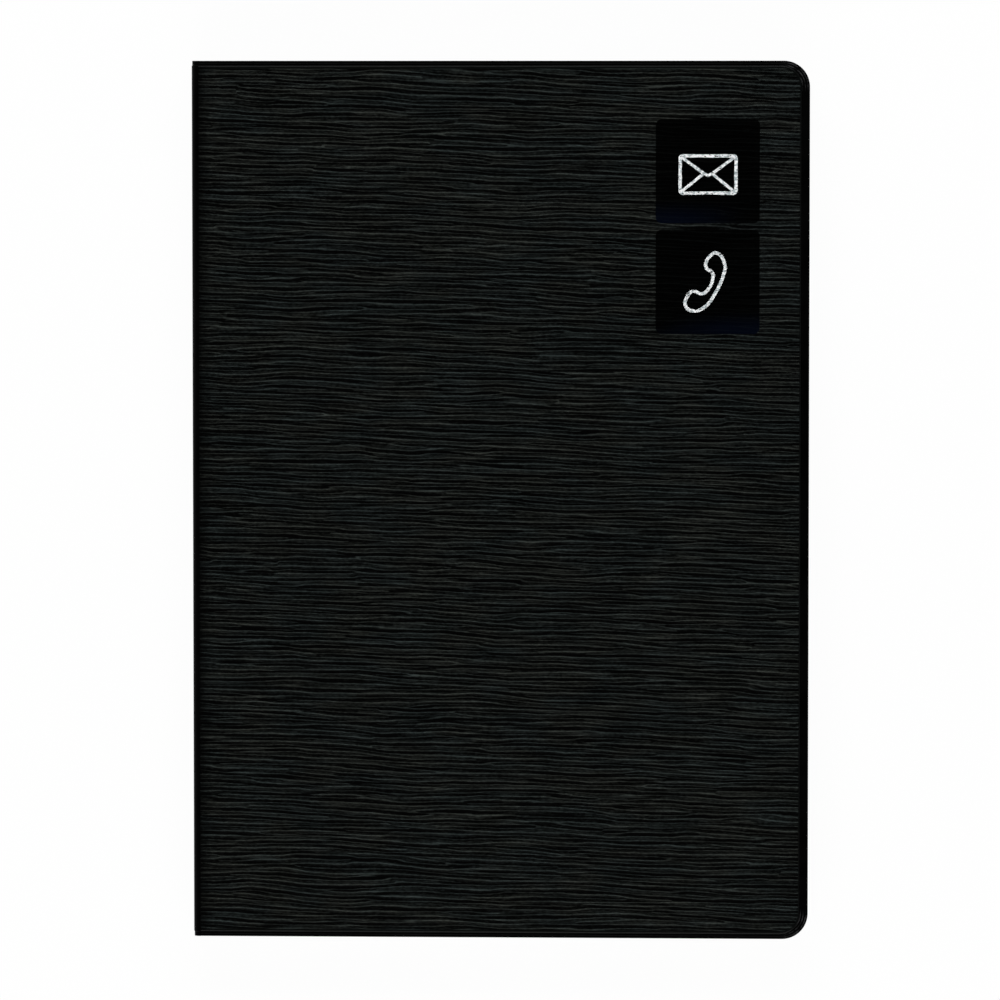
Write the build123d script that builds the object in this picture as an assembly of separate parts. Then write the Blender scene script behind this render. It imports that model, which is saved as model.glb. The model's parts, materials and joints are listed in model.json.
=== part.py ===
"""Closed address book: a welded vinyl cover round a leaf block with a step-cut letter index.

The book lies on its back cover. X runs from spine to fore-edge, Y from tail to head and Z up
through the front cover. The origin is under the middle of the cover. Lengths are millimetres.
"""

from build123d import *
import os

# Cover outline
cover_width = 152.4
cover_height = 217.0
corner_radius = 6.4

# Cover sheets
skin_thickness = 0.45
board_thickness = 0.9
lining_thickness = 0.25

# Welded rim round the raised panel
weld_fore_edge = 2.0
weld_head_tail = 1.1
weld_drop = 0.25
shoulder_radius = 0.2
board_margin = 0.8

# Living hinges between the panels and the spine
hinge_relief = 0.15
gutter_play = 0.1

# Pressed squares on the front
square_side = 25.6
square_radius = 1.5
square_depth = 0.15
square_spacing = 1.65
square_from_fore_edge = 12.25
square_from_head = 14.3

# End cards and the pockets that hold them
card_thickness = 0.3
flap_thickness = 0.2
flap_width = 58.0

# Leaf block
tab_labels = "a b c d e f g h ij k l m n o pq r s t u v w xyz".split()
leaves_per_tab = 2
leaf_thickness = 0.12
leaf_air = 0.02
leaf_corner_radius = 5.0
head_overhang = 3.5
fore_edge_overhang = 2.45
closing_gap = 0.15

# Step-cut index
tab_depth = 8.5
tab_radius = 1.5

# Gauze glued over the back of the block
gauze_thickness = 0.25
gauze_inset = 8.0

# Places worked out from the sizes above
panel_thickness = skin_thickness + board_thickness + lining_thickness
spine_thickness = skin_thickness + lining_thickness
pocket_thickness = panel_thickness + card_thickness + flap_thickness
section_pitch = leaves_per_tab * (leaf_thickness + leaf_air)
block_thickness = len(tab_labels) * section_pitch
book_thickness = 2 * pocket_thickness + block_thickness + closing_gap

half_height = cover_height / 2
raised_half_height = half_height - weld_head_tail
cover_left = -cover_width / 2
cover_right = cover_width / 2
raised_right = cover_right - weld_fore_edge
fold_radius = panel_thickness
fold_x = cover_left + fold_radius
fold_z = book_thickness - fold_radius
panel_left = fold_x + hinge_relief

skin_bottom = book_thickness - skin_thickness - board_thickness
rim_top = book_thickness - weld_drop
board_top = book_thickness - skin_thickness
lining_bottom = book_thickness - panel_thickness
card_bottom = lining_bottom - card_thickness
flap_bottom = card_bottom - flap_thickness

leaf_left = fold_x + gutter_play + gauze_thickness
leaf_right = cover_right - fore_edge_overhang
leaf_half_height = half_height - head_overhang
tab_height = 2 * leaf_half_height / len(tab_labels)
block_bottom = pocket_thickness

mid_plane = Plane.XY.offset(book_thickness / 2)


def slab(outline, bottom, top):
    """Extrude a flat outline between two heights."""
    return Pos(0, 0, bottom) * extrude(outline, amount=top - bottom)


def rectangle_between(left, right, bottom, top):
    """Return a rectangle given by its four sides."""
    centre = Pos((left + right) / 2, (bottom + top) / 2)
    return centre * Rectangle(right - left, top - bottom)


def fore_edge_outline(left, right, half, radius):
    """Return a rectangle whose two fore-edge corners are rounded."""
    outline = rectangle_between(left, right, -half, half)
    return fillet(outline.vertices().group_by(Axis.X)[-1], radius)


def rim_outline():
    """Return the cover panel's full outline, out to the cut edge of the weld."""
    return fore_edge_outline(panel_left, cover_right, half_height, corner_radius)


def raised_outline():
    """Return the outline of the raised, grained part of a panel inside the weld."""
    radius = corner_radius - weld_head_tail
    return fore_edge_outline(panel_left, raised_right, raised_half_height, radius)


def board():
    """Make the stiffener board, set back from the raised outline."""
    left = panel_left + board_margin
    right = raised_right - board_margin
    radius = corner_radius - weld_head_tail - board_margin
    outline = fore_edge_outline(left, right, raised_half_height - board_margin, radius)
    return slab(outline, skin_bottom, board_top)


def panel_skin():
    """Make a panel's skin: a welded rim and a raised middle, hollow where the board lies."""
    rim = slab(rim_outline(), skin_bottom, rim_top)
    raised = slab(raised_outline(), rim_top, book_thickness)
    shoulder = raised.edges().group_by(Axis.Z)[-1].sort_by(Axis.X)[1:]
    return rim + fillet(shoulder, shoulder_radius) - board()


def pressed_squares():
    """Make the shallow cuts of the two pressed squares, one under the other."""
    outline = RectangleRounded(square_side, square_side, square_radius)
    x = cover_right - square_from_fore_edge - square_side / 2
    upper_y = half_height - square_from_head - square_side / 2
    lower_y = upper_y - square_side - square_spacing
    spots = [Pos(x, y) * outline for y in (upper_y, lower_y)]
    return [slab(spot, book_thickness - square_depth, book_thickness) for spot in spots]


def panel_lining():
    """Make the inner sheet that is welded to the skin all round the rim."""
    return slab(rim_outline(), lining_bottom, skin_bottom)


def end_card():
    """Make the stiff end leaf of the block that lies in the cover's pocket."""
    outline = fore_edge_outline(leaf_left, leaf_right, leaf_half_height, leaf_corner_radius)
    return slab(outline, card_bottom, lining_bottom)


def pocket_flap():
    """Make the pocket sheet, welded to the lining on three sides and open to the gutter."""
    mouth = cover_right - flap_width
    outline = rim_outline() & rectangle_between(mouth, cover_right, -half_height, half_height)
    sheet = slab(outline, flap_bottom, card_bottom)
    weld = slab(outline - raised_outline(), card_bottom, lining_bottom)
    return sheet + weld


def fold_profile(outer, inner):
    """Return a quarter ring with short straight ends, about the fold's axis."""
    quarter = Pos(-outer / 2, outer / 2) * Rectangle(outer, outer)
    ring = (Circle(outer) - Circle(inner)) & quarter
    panel_end = rectangle_between(0, hinge_relief, inner, outer)
    spine_end = rectangle_between(-outer, -inner, -hinge_relief, 0)
    return ring + panel_end + spine_end


def along_spine(profile, half_length):
    """Extrude a profile drawn in X and Z, both ways from the middle of the book."""
    return extrude(Plane.XZ * profile, amount=half_length, both=True)


def fold_skin():
    """Make the skin's fold between spine and panel, fused with the lining at head and tail."""
    placed = Pos(fold_x, fold_z)
    raised = placed * fold_profile(fold_radius, fold_radius - skin_thickness)
    rim = placed * fold_profile(fold_radius, fold_radius - spine_thickness)
    weld = along_spine(rim, half_height) - along_spine(rim, raised_half_height)
    return along_spine(raised, raised_half_height) + weld


def spine_wall(outer, inner):
    """Return the section of an upright sheet between two depths in from the spine's face."""
    low = book_thickness - fold_z + hinge_relief
    high = fold_z - hinge_relief
    return rectangle_between(cover_left + outer, cover_left + inner, low, high)


def spine_skin():
    """Make the flat skin down the spine, fused with the lining at head and tail."""
    rim = spine_wall(0, spine_thickness)
    weld = along_spine(rim, half_height) - along_spine(rim, raised_half_height)
    return along_spine(spine_wall(0, skin_thickness), raised_half_height) + weld


def spine_lining():
    """Make the inner sheet behind the spine's skin."""
    return along_spine(spine_wall(skin_thickness, spine_thickness), raised_half_height)


def leaf_outline(place):
    """Return a leaf full width down to its own tab and cut back below it.

    The place counts tabs from the head, from nought.
    """
    step_x = leaf_right - tab_depth
    tab_bottom = leaf_half_height - (place + 1) * tab_height
    if place == len(tab_labels) - 1:
        return fore_edge_outline(leaf_left, leaf_right, leaf_half_height, leaf_corner_radius)
    body = rectangle_between(leaf_left, step_x, -leaf_half_height, leaf_half_height)
    tabs = rectangle_between(step_x, leaf_right, tab_bottom, leaf_half_height)
    corners = {
        (leaf_right, leaf_half_height): leaf_corner_radius,
        (leaf_right, tab_bottom): tab_radius,
        (step_x, tab_bottom): tab_radius,
        (step_x, -leaf_half_height): leaf_corner_radius,
    }
    outline = body + tabs
    for corner, radius in corners.items():
        outline = fillet(outline.vertices().sort_by_distance(corner)[0], radius)
    return outline


def index_section(place):
    """Make the leaves behind one letter tab, the first letter on top of the block."""
    outline = leaf_outline(place)
    bottom = block_bottom + (len(tab_labels) - 1 - place) * section_pitch
    pitch = leaf_thickness + leaf_air
    lows = [bottom + leaf * pitch for leaf in range(leaves_per_tab)]
    return [slab(outline, low, low + leaf_thickness) for low in lows]


def block_gauze():
    """Make the strip glued down the back of the leaf block."""
    left = leaf_left - gauze_thickness
    top = block_bottom + block_thickness - leaf_air
    return along_spine(
        rectangle_between(left, leaf_left, block_bottom, top), leaf_half_height - gauze_inset
    )


def back_of(solid):
    """Mirror a front piece to the back cover."""
    return mirror(solid, about=mid_plane)


def all_pieces():
    """Return every piece of the book by name."""
    pieces = {
        "front_cover_skin": panel_skin() - pressed_squares(),
        "front_cover_board": board(),
        "front_cover_lining": panel_lining(),
        "front_pocket_flap": pocket_flap(),
        "front_end_card": end_card(),
        "front_fold_skin": fold_skin(),
        "spine_skin": spine_skin(),
        "spine_lining": spine_lining(),
        "back_cover_skin": back_of(panel_skin()),
        "back_cover_board": back_of(board()),
        "back_cover_lining": back_of(panel_lining()),
        "back_pocket_flap": back_of(pocket_flap()),
        "back_end_card": back_of(end_card()),
        "back_fold_skin": back_of(fold_skin()),
        "block_gauze": block_gauze(),
    }
    for place, label in enumerate(tab_labels):
        pieces["index_section_" + label] = Compound(children=index_section(place))
    return pieces


os.makedirs("parts", exist_ok=True)
for name, piece in all_pieces().items():
    export_step(piece, os.path.join("parts", name + ".step"))
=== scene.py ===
import json
import logging
import math
from dataclasses import dataclass
from enum import Enum
from functools import cache, reduce
from typing import Callable, Optional, Sequence, Union

import bmesh
import bpy
import numpy as np
from mathutils import Matrix, Vector

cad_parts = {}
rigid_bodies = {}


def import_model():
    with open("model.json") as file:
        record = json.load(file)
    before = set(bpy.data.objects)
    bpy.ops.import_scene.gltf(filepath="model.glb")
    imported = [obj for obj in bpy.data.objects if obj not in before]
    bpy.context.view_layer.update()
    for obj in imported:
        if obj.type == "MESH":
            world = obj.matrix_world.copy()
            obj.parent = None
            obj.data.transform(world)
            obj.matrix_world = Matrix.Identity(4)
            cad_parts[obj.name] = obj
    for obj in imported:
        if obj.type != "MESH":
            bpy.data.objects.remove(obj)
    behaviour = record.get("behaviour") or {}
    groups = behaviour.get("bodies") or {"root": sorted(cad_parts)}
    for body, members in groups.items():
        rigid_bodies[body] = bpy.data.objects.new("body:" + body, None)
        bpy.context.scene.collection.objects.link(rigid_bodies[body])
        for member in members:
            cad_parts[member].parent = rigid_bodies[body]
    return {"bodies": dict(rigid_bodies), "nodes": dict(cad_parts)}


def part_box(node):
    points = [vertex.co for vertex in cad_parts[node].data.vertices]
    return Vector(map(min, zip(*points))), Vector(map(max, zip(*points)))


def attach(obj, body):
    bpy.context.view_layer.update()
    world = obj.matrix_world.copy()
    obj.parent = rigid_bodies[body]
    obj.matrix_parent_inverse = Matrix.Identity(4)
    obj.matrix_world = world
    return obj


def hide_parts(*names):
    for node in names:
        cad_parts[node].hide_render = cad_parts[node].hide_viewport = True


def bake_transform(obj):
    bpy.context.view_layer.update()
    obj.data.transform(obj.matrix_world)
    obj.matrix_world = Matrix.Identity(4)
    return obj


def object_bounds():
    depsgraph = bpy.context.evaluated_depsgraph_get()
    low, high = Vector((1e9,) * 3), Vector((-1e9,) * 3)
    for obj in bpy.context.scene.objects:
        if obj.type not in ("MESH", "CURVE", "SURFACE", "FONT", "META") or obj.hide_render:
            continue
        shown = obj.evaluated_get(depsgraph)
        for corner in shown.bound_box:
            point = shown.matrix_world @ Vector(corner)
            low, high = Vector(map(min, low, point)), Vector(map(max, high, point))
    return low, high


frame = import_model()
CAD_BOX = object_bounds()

LOG = logging.getLogger("address_book")
MM = 0.001
PER_MM = 1000.0
SAME_PLACE = 0.0001 * MM

Socket = bpy.types.NodeSocket
Feed = Union[Socket, float, tuple]
Piece = bpy.types.Object
Colour = tuple[float, float, float, float]
Dot = tuple[float, float]


class Side(Enum):
    """Which cover a panel or fold belongs to."""

    FRONT = "front"
    BACK = "back"


class Part(Enum):
    """What an edit-mode selection is made of."""

    VERTS = "VERT"
    EDGES = "EDGE"
    FACES = "FACE"


class Page(Enum):
    """Which face of a leaf a print lies on."""

    RECTO = "recto"
    VERSO = "verso"


class Tree(Enum):
    """What a node group works on."""

    SHADER = "ShaderNodeTree"
    MESH = "GeometryNodeTree"


class Plug(Enum):
    """What a node group's socket carries."""

    NUMBER = "NodeSocketFloat"
    VECTOR = "NodeSocketVector"
    MESH = "NodeSocketGeometry"


class Mix(Enum):
    """What is mixed, with the mix node's first input and its output for that kind."""

    NUMBERS = ("FLOAT", 2, 0)
    COLOURS = ("RGBA", 6, 2)


# Shared tools


class Bench:
    """Hand tools that work on one mesh piece at a time."""

    @staticmethod
    def clear() -> None:
        """Leave edit mode and deselect everything."""
        if bpy.context.mode != "OBJECT":
            bpy.ops.object.mode_set(mode="OBJECT")
        bpy.ops.object.select_all(action="DESELECT")

    @staticmethod
    def take(piece: Piece) -> None:
        """Make a piece the only one that is selected and active.

        Args:
            piece: The piece to work on next.
        """
        Bench.clear()
        piece.select_set(True)
        bpy.context.view_layer.objects.active = piece

    @staticmethod
    def settle(name: str) -> Piece:
        """Name the piece just added and put its place into its mesh.

        Args:
            name: The piece's name.

        Returns:
            The piece, at the origin, unturned and unscaled.
        """
        piece = bpy.context.object
        piece.name = name
        piece.data.name = name
        bpy.ops.object.transform_apply(location=True, rotation=True, scale=True)
        return piece

    @staticmethod
    def plane(name: str, low: Vector, high: Vector) -> Piece:
        """Add a flat rectangle between two corners at one height.

        Args:
            name: The piece's name.
            low: The corner with the lowest X and Y.
            high: The corner with the highest X and Y, at the same Z.

        Returns:
            The new piece.
        """
        Bench.clear()
        bpy.ops.mesh.primitive_plane_add(size=1.0, location=(low + high) / 2)
        bpy.context.object.scale = (high.x - low.x, high.y - low.y, 1.0)
        return Bench.settle(name)

    @staticmethod
    def block(name: str, low: Vector, high: Vector) -> Piece:
        """Add a box between two corners.

        Args:
            name: The piece's name.
            low: The lowest corner.
            high: The highest corner.

        Returns:
            The new piece.
        """
        Bench.clear()
        bpy.ops.mesh.primitive_cube_add(size=1.0, location=(low + high) / 2)
        bpy.context.object.scale = high - low
        return Bench.settle(name)

    @staticmethod
    def pick(piece: Piece, part: Part, test: Callable[..., bool]) -> None:
        """Go to edit mode with only the elements that pass a test selected.

        Args:
            piece: The mesh piece to edit.
            part: Whether vertices, edges or faces are tested.
            test: Takes one element and says whether it is wanted.
        """
        if bpy.context.object is not piece or bpy.context.mode != "EDIT_MESH":
            Bench.take(piece)
            bpy.ops.object.mode_set(mode="EDIT")
        bpy.ops.mesh.select_mode(type=part.value)
        bpy.ops.mesh.select_all(action="DESELECT")
        mesh = bmesh.from_edit_mesh(piece.data)
        kinds = {Part.VERTS: mesh.verts, Part.EDGES: mesh.edges, Part.FACES: mesh.faces}
        for element in kinds[part]:
            if test(element):
                element.select_set(True)
        mesh.select_flush_mode()
        bmesh.update_edit_mesh(piece.data)

    @staticmethod
    def pick_all(piece: Piece) -> None:
        """Go to edit mode with every face selected."""
        Bench.pick(piece, Part.FACES, lambda face: True)

    @staticmethod
    def pick_largest(piece: Piece) -> None:
        """Select only the face with the largest area.

        Args:
            piece: The mesh piece, in edit mode.
        """
        mesh = bmesh.from_edit_mesh(piece.data)
        area = max(face.calc_area() for face in mesh.faces)
        Bench.pick(piece, Part.FACES, lambda face: face.calc_area() == area)

    @staticmethod
    def pull(offset: Vector) -> None:
        """Extrude what is selected by an offset."""
        bpy.ops.mesh.extrude_region_move(TRANSFORM_OT_translate={"value": tuple(offset)})

    @staticmethod
    def cut(piece: Piece, place: tuple, normal: tuple, trim: bool = False) -> None:
        """Cut all of a piece's faces along a plane.

        Args:
            piece: The mesh piece.
            place: A point on the plane.
            normal: The plane's normal.
            trim: Whether what lies behind the plane is taken away.
        """
        Bench.pick_all(piece)
        bpy.ops.mesh.bisect(plane_co=place, plane_no=normal, clear_inner=trim)

    @staticmethod
    def true_up(piece: Piece) -> None:
        """Merge doubles, turn all faces outwards and leave edit mode.

        Args:
            piece: The mesh piece.
        """
        Bench.pick_all(piece)
        bpy.ops.mesh.remove_doubles(threshold=SAME_PLACE)
        bpy.ops.mesh.normals_make_consistent(inside=False)
        Bench.clear()

    @staticmethod
    def bevel(piece: Piece, width: float, segments: int = 3) -> None:
        """Round a piece's sharp edges with an applied bevel.

        Args:
            piece: The mesh piece.
            width: How far the rounding reaches from each edge.
            segments: How many faces each rounding has.
        """
        rounding = piece.modifiers.new("rounding", "BEVEL")
        rounding.width = width
        rounding.segments = segments
        rounding.limit_method = "ANGLE"
        Bench.apply(piece, rounding.name)

    @staticmethod
    def apply(piece: Piece, modifier: str) -> None:
        """Apply one modifier to a piece."""
        Bench.take(piece)
        bpy.ops.object.modifier_apply(modifier=modifier)

    @staticmethod
    def smooth(piece: Piece, degrees: float) -> None:
        """Shade smooth where faces meet at less than an angle."""
        Bench.take(piece)
        bpy.ops.object.shade_smooth_by_angle(angle=math.radians(degrees))

    @staticmethod
    def mirror_to_back(piece: Piece, thickness: float) -> None:
        """Mirror a front piece to the back of a closed book.

        Args:
            piece: The mesh piece, in its front place.
            thickness: The closed book's thickness.
        """
        flip = Matrix.Translation((0, 0, thickness)) @ Matrix.Scale(-1, 4, (0, 0, 1))
        piece.data.transform(flip)
        Bench.pick_all(piece)
        bpy.ops.mesh.flip_normals()
        Bench.clear()

    @staticmethod
    def dress(piece: Piece, material: bpy.types.Material) -> None:
        """Give a piece one material all over.

        Args:
            piece: The mesh piece.
            material: Its material.
        """
        if not piece.material_slots:
            piece.data.materials.append(material)
        for slot in piece.material_slots:
            slot.material = material


class Wiring:
    """Adds nodes to a tree, for a shader or for a mesh, and links them."""

    def __init__(self, tree: bpy.types.NodeTree) -> None:
        """Work on one node tree."""
        self.tree = tree

    @classmethod
    def fresh(cls, owner: Union[bpy.types.Material, bpy.types.World]) -> "Wiring":
        """Start a material's or a world's tree with no nodes.

        Args:
            owner: The material or world.

        Returns:
            The wiring of its empty tree.
        """
        owner.use_nodes = True
        owner.node_tree.nodes.clear()
        return cls(owner.node_tree)

    @classmethod
    def group(
        cls, name: str, kind: Tree, inputs: dict[str, Plug], outputs: dict[str, Plug]
    ) -> tuple["Wiring", bpy.types.Node, bpy.types.Node]:
        """Start a node group with named sockets.

        Args:
            name: The group's name.
            kind: What the group works on.
            inputs: Each input's name and kind.
            outputs: Each output's name and kind.

        Returns:
            The group's wiring, its input node and its output node.
        """
        wiring = cls(bpy.data.node_groups.new(name, kind.value))
        for way, sockets in (("INPUT", inputs), ("OUTPUT", outputs)):
            for label, plug in sockets.items():
                wiring.tree.interface.new_socket(label, in_out=way, socket_type=plug.value)
        return wiring, wiring.add("NodeGroupInput"), wiring.add("NodeGroupOutput")

    def add(self, kind: str, **settings: object) -> bpy.types.Node:
        """Add a node and set its options.

        Args:
            kind: The node's type.
            **settings: Its options by name.

        Returns:
            The node.
        """
        node = self.tree.nodes.new(kind)
        for name, value in settings.items():
            setattr(node, name, value)
        return node

    def feed(self, socket: Socket, value: Feed) -> None:
        """Link an output to a socket, or set a plain value on it.

        Args:
            socket: The input to feed.
            value: The output or the value.
        """
        if isinstance(value, bpy.types.NodeSocket):
            self.tree.links.new(value, socket)
        else:
            socket.default_value = value

    def plug(self, node: bpy.types.Node, values: dict[str, Feed]) -> None:
        """Feed several of a node's inputs by name."""
        for name, value in values.items():
            self.feed(node.inputs[name], value)

    def use(self, tree: bpy.types.NodeTree, values: dict[str, Feed]) -> Socket:
        """Place a shader group with its own values.

        Args:
            tree: The group.
            values: What its inputs get, by name.

        Returns:
            The group's output.
        """
        node = self.add("ShaderNodeGroup", node_tree=tree)
        self.plug(node, values)
        return node.outputs[0]

    def math(self, operation: str, first: Feed, second: Feed = 0.0) -> Socket:
        """Combine two numbers.

        Args:
            operation: The math node's operation.
            first: The first number or output.
            second: The second number or output.

        Returns:
            The result's output.
        """
        node = self.add("ShaderNodeMath", operation=operation)
        self.feed(node.inputs[0], first)
        self.feed(node.inputs[1], second)
        return node.outputs[0]

    def plus(self, *values: Feed) -> Socket:
        """Add numbers up."""
        return reduce(lambda first, second: self.math("ADD", first, second), values)

    def minus(self, first: Feed, second: Feed) -> Socket:
        """Take the second number from the first."""
        return self.math("SUBTRACT", first, second)

    def times(self, *values: Feed) -> Socket:
        """Multiply numbers together."""
        return reduce(lambda first, second: self.math("MULTIPLY", first, second), values)

    def vector(self, x: Feed, y: Feed, z: Feed = 0.0) -> Socket:
        """Join three numbers into a vector.

        Args:
            x: The first number.
            y: The second number.
            z: The third number.

        Returns:
            The vector.
        """
        node = self.add("ShaderNodeCombineXYZ")
        self.plug(node, {"X": x, "Y": y, "Z": z})
        return node.outputs[0]

    def split(self, vector: Socket) -> tuple[Socket, Socket, Socket]:
        """Split a vector into its three numbers.

        Args:
            vector: The vector.

        Returns:
            Its X, Y and Z.
        """
        node = self.add("ShaderNodeSeparateXYZ")
        self.feed(node.inputs[0], vector)
        return tuple(node.outputs)

    def noise(self, vector: Feed, scale: Feed = 1.0, detail: Feed = 1.0) -> Socket:
        """Add a noise.

        Args:
            vector: Where the noise is read.
            scale: How many cells it has to a unit.
            detail: How many finer layers it has.

        Returns:
            The noise, about 0.5 on average.
        """
        node = self.add("ShaderNodeTexNoise", noise_dimensions="3D")
        self.plug(node, {"Vector": vector, "Scale": scale, "Detail": detail})
        return node.outputs["Fac"]

    def share(self, value: Feed, low: float, high: float) -> Socket:
        """Rise evenly from 0 at one value to 1 at a higher one.

        Args:
            value: The value.
            low: Where the rise starts.
            high: Where it ends.

        Returns:
            The share, from 0 to 1.
        """
        node = self.add("ShaderNodeMapRange", interpolation_type="LINEAR")
        self.plug(node, {"Value": value, "From Min": low, "From Max": high})
        return node.outputs["Result"]

    def ramp(self, value: Feed, start: float, end: float) -> Socket:
        """Rise smoothly from 0 at one value to 1 at another, higher or lower.

        Args:
            value: The value.
            start: Where the result is 0.
            end: Where it is 1.

        Returns:
            The smooth share, from 0 to 1.
        """
        node = self.add("ShaderNodeMapRange", interpolation_type="SMOOTHSTEP")
        first, last = (0.0, 1.0) if end > start else (1.0, 0.0)
        self.plug(node, {"Value": value, "To Min": first, "To Max": last})
        self.plug(node, {"From Min": min(start, end), "From Max": max(start, end)})
        return node.outputs["Result"]

    def rounded_edge(self, x: Feed, y: Feed, half: Dot, radius: float) -> Socket:
        """Measure how far a place lies outside a rounded rectangle.

        Args:
            x: The distance from its middle across.
            y: The distance from its middle upwards.
            half: Half its width and height.
            radius: Its corners' radius.

        Returns:
            The distance, negative inside.
        """
        past = [
            self.minus(self.math("ABSOLUTE", way), reach - radius)
            for way, reach in zip((x, y), half)
        ]
        reach = self.add("ShaderNodeVectorMath", operation="LENGTH")
        outside = self.vector(*(self.math("MAXIMUM", way, 0.0) for way in past))
        self.feed(reach.inputs[0], outside)
        inside = self.math("MINIMUM", self.math("MAXIMUM", *past), 0.0)
        return self.minus(self.plus(reach.outputs["Value"], inside), radius)

    def mix(self, kind: Mix, factor: Feed, first: Feed, second: Feed) -> Socket:
        """Mix two values by a factor.

        Args:
            kind: What is mixed.
            factor: How much of the second there is.
            first: The value at a factor of 0.
            second: The value at a factor of 1.

        Returns:
            The mixed value.
        """
        data_type, start, end = kind.value
        node = self.add("ShaderNodeMix", data_type=data_type)
        for index, value in zip((0, start, start + 1), (factor, first, second)):
            self.feed(node.inputs[index], value)
        return node.outputs[end]

    def between(self, factor: Feed, first: Feed, second: Feed) -> Socket:
        """Mix two numbers by a factor."""
        return self.mix(Mix.NUMBERS, factor, first, second)

    def tint(self, factor: Feed, first: Feed, second: Feed) -> Socket:
        """Mix two colours by a factor."""
        return self.mix(Mix.COLOURS, factor, first, second)

    def bump(self, height: Feed, strength: float, distance: float) -> Socket:
        """Turn a height into a normal.

        Args:
            height: The height, from 0 to 1.
            strength: How much of it shows.
            distance: The real height of 1, in metres.

        Returns:
            The bumped normal.
        """
        node = self.add("ShaderNodeBump")
        self.plug(node, {"Height": height, "Strength": strength, "Distance": distance})
        return node.outputs["Normal"]


def linear(*channels: int) -> Colour:
    """Turn a screen colour into a linear one.

    Args:
        *channels: Red, green and blue, from 0 to 255.

    Returns:
        The linear colour, with full alpha.
    """

    def bright(share: float) -> float:
        """Turn one channel linear."""
        return share / 12.92 if share <= 0.04045 else ((share + 0.055) / 1.055) ** 2.4

    return *(bright(channel / 255) for channel in channels), 1.0


# Sizes of the book


@dataclass(frozen=True)
class BookSizes:
    """The book's main places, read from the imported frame, and its cover's fine sizes."""

    left: float
    right: float
    half_height: float
    thickness: float
    panel_left: float
    skin_bottom: float
    fold_radius: float
    spine_low: float
    spine_high: float
    leaf_left: float
    leaf_right: float
    leaf_half_height: float
    corner_radius: float = 6.4 * MM
    weld_fore_edge: float = 2.0 * MM
    weld_head_tail: float = 1.1 * MM
    weld_drop: float = 0.25 * MM
    skin_thickness: float = 0.45 * MM
    spine_thickness: float = 0.7 * MM
    hinge_relief: float = 0.15 * MM
    ironed_less: float = 0.4 * MM
    ironed_flat: float = 0.65 * MM
    ironed_all: float = 1.0 * MM
    end_drop: float = 0.13 * MM
    tab_depth: float = 8.5 * MM

    @classmethod
    def from_frame(cls) -> "BookSizes":
        """Read the book's places from the boxes of its nodes.

        Returns:
            The sizes.
        """
        low, high = CAD_BOX
        skin_low, skin_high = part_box("front_cover_skin")
        spine_low, spine_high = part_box("spine_skin")
        leaf_low, leaf_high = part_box("index_section_xyz")
        return cls(
            left=low.x,
            right=skin_high.x,
            half_height=skin_high.y,
            thickness=high.z,
            panel_left=skin_low.x,
            skin_bottom=skin_low.z,
            fold_radius=skin_low.x - cls.hinge_relief - low.x,
            spine_low=spine_low.z,
            spine_high=spine_high.z,
            leaf_left=leaf_low.x,
            leaf_right=leaf_high.x,
            leaf_half_height=leaf_high.y,
        )

    @property
    def raised_right(self) -> float:
        """The fore-edge side of the raised, grained face."""
        return self.right - self.weld_fore_edge

    @property
    def raised_half(self) -> float:
        """Half the height of the raised, grained face."""
        return self.half_height - self.weld_head_tail

    @property
    def raised_radius(self) -> float:
        """The corner radius of the raised, grained face."""
        return self.corner_radius - self.weld_head_tail

    @property
    def rim_top(self) -> float:
        """The height of the front weld's flat face."""
        return self.thickness - self.weld_drop

    def ironed(self, wiring: Wiring, x: Feed, y: Feed) -> Socket:
        """Find where the weld's bar has ironed the raised face's edge flat.

        Args:
            wiring: The tree to add to.
            x: The distance towards the fore-edge.
            y: The distance towards the head.

        Returns:
            How much of the grain is left, from 0 at the edge to 1 inside it.
        """
        half = (self.right - self.left, self.raised_half)
        across = wiring.minus(x, self.raised_right + self.ironed_less - half[0])
        edge = wiring.rounded_edge(across, y, half, self.raised_radius)
        return wiring.ramp(edge, -self.ironed_flat, -self.ironed_all)


# Patterns


@dataclass(frozen=True)
class Drift:
    """A slow wander to either side, long along the streaks and narrow across them.

    Lengths are millimetres. The reach is the distance between the furthest bends, and the layer
    is the level at which the noise is cut.
    """

    length: float
    width: float
    reach: float
    layer: float = 7.3

    def wire(self, wiring: Wiring, along: Feed, across: Feed) -> Socket:
        """Build the wander in a node tree.

        Args:
            wiring: The tree to build in.
            along: The distance along the streaks.
            across: The distance across them.

        Returns:
            The sideways distance.
        """
        place = wiring.vector(
            wiring.times(along, 1 / self.length), wiring.times(across, 1 / self.width), self.layer
        )
        return wiring.times(wiring.minus(wiring.noise(place), 0.5), self.reach)


@dataclass(frozen=True)
class LineField:
    """Lines side by side that fork and end here and there.

    Lengths are millimetres. The lines keep in step over one cell, and a cell is longer along the
    lines by the stretch.
    """

    pitch: float
    cell: float
    stretch: float
    start: float = 0.0

    def wire(self, wiring: Wiring, along: Feed, across: Feed) -> Socket:
        """Build the lines in a node tree.

        Args:
            wiring: The tree to build in.
            along: The distance along the streaks.
            across: The distance across them.

        Returns:
            The angle of the wave from line to line.
        """
        bands = wiring.add("ShaderNodeTexGabor", gabor_type="2D")
        shrunk = wiring.times(along, 1 / self.stretch)
        values = {
            "Vector": wiring.vector(shrunk, wiring.plus(across, self.start)),
            "Scale": 1 / self.cell,
            "Frequency": self.cell / self.pitch,
            "Anisotropy": 1.0,
            "Orientation": math.pi / 2,
        }
        wiring.plug(bands, values)
        return wiring.times(bands.outputs["Phase"], 2 * math.pi)


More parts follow.
